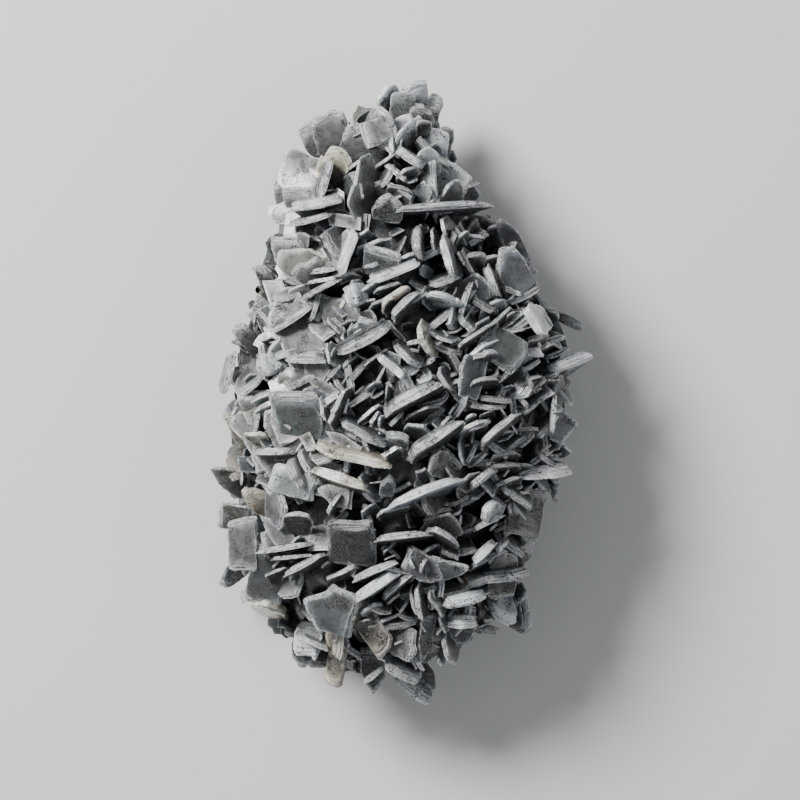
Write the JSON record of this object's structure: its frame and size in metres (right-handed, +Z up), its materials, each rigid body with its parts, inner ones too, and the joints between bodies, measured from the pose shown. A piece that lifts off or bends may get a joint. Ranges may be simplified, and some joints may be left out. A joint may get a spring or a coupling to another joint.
{
  "type": "barite crystal cluster",
  "caption": "Mineral specimen: a grown-together cluster of pale blue-grey tabular barite crystals, lying on its flat-cut back.",
  "frame": {"origin": "middle of the specimen's box, at the level of the flat cut that it rests on", "axes": "+Z up from the flat cut through the crystals, +Y along the specimen's length towards its narrow knob end"},
  "size_m": [0.0982, 0.159, 0.0662],
  "materials": {
    "barite": "waxy, slightly translucent, with dark specks"
  },
  "bodies": {
    "root": {"barite_cluster": "barite"}
  },
  "joints": []
}
